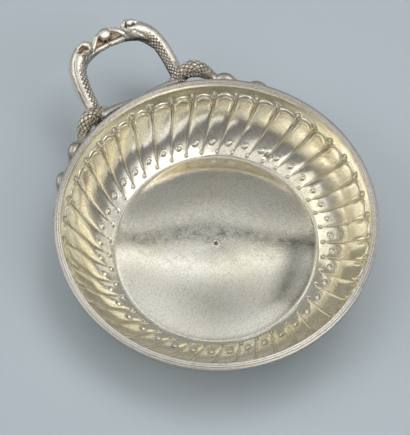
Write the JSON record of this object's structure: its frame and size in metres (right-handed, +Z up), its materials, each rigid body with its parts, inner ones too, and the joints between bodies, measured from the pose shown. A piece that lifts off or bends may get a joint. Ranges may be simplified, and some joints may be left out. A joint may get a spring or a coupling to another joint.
{
  "type": "tastevin",
  "caption": "Shallow fluted silver wine-tasting cup with a reeded rim and a finger loop formed by facing serpents that bite a bead.",
  "frame": {"origin": "on the bowl's axis, in the plane of the ring that it stands on", "axes": "+Z up along the bowl's axis, +Y outward along the handle, +X to the right when the handle is at the far side"},
  "size_m": [0.08, 0.1004, 0.0261],
  "materials": {
    "bowl_silver": "worn hand-polished silver sheet with fine scratches and a warm tarnish in the hollows",
    "wire_silver": "bright rubbed silver wire",
    "cast_silver": "cast and chased silver with dark and orange-brown patina between the scales",
    "solder": "grey silver solder, dull and smooth"
  },
  "bodies": {
    "root": {"bowl": "bowl_silver", "rim_wire": "wire_silver", "rim_solder": "solder", "left_serpent": "cast_silver", "right_serpent": "cast_silver", "bead": "wire_silver", "jaw_solder": "solder", "left_foot_solder": "solder", "right_foot_solder": "solder"}
  },
  "joints": []
}
